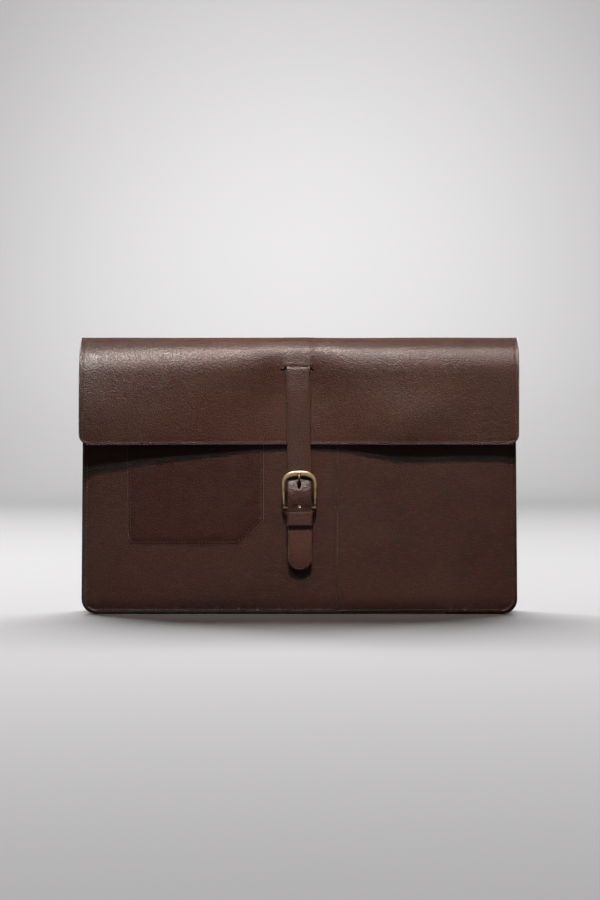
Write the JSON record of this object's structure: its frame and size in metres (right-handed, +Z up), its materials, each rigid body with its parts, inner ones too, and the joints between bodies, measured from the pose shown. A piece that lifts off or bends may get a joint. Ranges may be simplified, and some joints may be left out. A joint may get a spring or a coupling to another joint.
{
  "type": "laptop sleeve",
  "caption": "Padded leather laptop sleeve with a fold-over flap, slip pockets on the front, and a strap closed by a prong buckle.",
  "frame": {"origin": "middle of the flat base that the sleeve stands on", "axes": "+Z up out of the mouth, -Y out of the front with the buckle, +X to the right seen from the front"},
  "size_m": [0.379, 0.0459, 0.24],
  "materials": {
    "shell_leather": "dark brown fine-grained leather, semi-matt",
    "pocket_leather": "slightly redder dark brown leather",
    "flap_leather": "dark brown pebbled leather with a soft shine on the fold",
    "strap_leather": "dark brown strap leather with burnished edges",
    "lining": "short-napped microfibre suede",
    "foam": "closed-cell foam",
    "board": "bonded-leather board",
    "brass": "antique satin brass with darkened recesses",
    "steel": "nickel-plated steel"
  },
  "bodies": {
    "bag": {"front_panel": "shell_leather", "back_panel": "shell_leather", "gusset": "shell_leather", "front_foam": "foam", "back_foam": "foam", "front_lining": "lining", "back_lining": "lining", "bottom_board": "board", "card_pocket": "pocket_leather", "document_pocket": "shell_leather", "flap_back_band": "flap_leather", "snap_socket": "steel", "snap_socket_washer": "steel"},
    "spine": {"flap_spine": "flap_leather", "spine_lining": "lining"},
    "flap": {"flap_front": "flap_leather", "flap_lining": "lining", "strap_root": "strap_leather"},
    "strap": {"strap": "strap_leather", "chape": "strap_leather", "keeper": "strap_leather", "snap_stud": "steel", "snap_stud_washer": "steel"},
    "buckle": {"buckle_frame": "brass", "heel_bar": "brass"},
    "prong": {"prong": "brass"}
  },
  "joints": [
    {"name": "spine_fold", "type": "hinge", "parent": "bag", "child": "spine", "pos_m": [0, 0.01395, 0.237], "axis": [-1, 0, 0], "range_deg": [0, 150]},
    {"name": "flap_fold", "type": "hinge", "parent": "spine", "child": "flap", "pos_m": [0, -0.01575, 0.23356], "axis": [-1, 0, 0], "range_deg": [0, 90]},
    {"name": "strap_lift", "type": "hinge", "parent": "flap", "child": "strap", "pos_m": [-0.0011, -0.0195, 0.2152], "axis": [-1, 0, 0], "range_deg": [0, 90]},
    {"name": "frame_swing", "type": "hinge", "parent": "strap", "child": "buckle", "pos_m": [0.00018, -0.0202, 0.0927], "axis": [1, 0, 0], "range_deg": [0, 3]},
    {"name": "prong_swing", "type": "hinge", "parent": "buckle", "child": "prong", "pos_m": [0.00018, -0.0202, 0.0927], "axis": [1, 0, 0], "range_deg": [0, 2.5]}
  ]
}
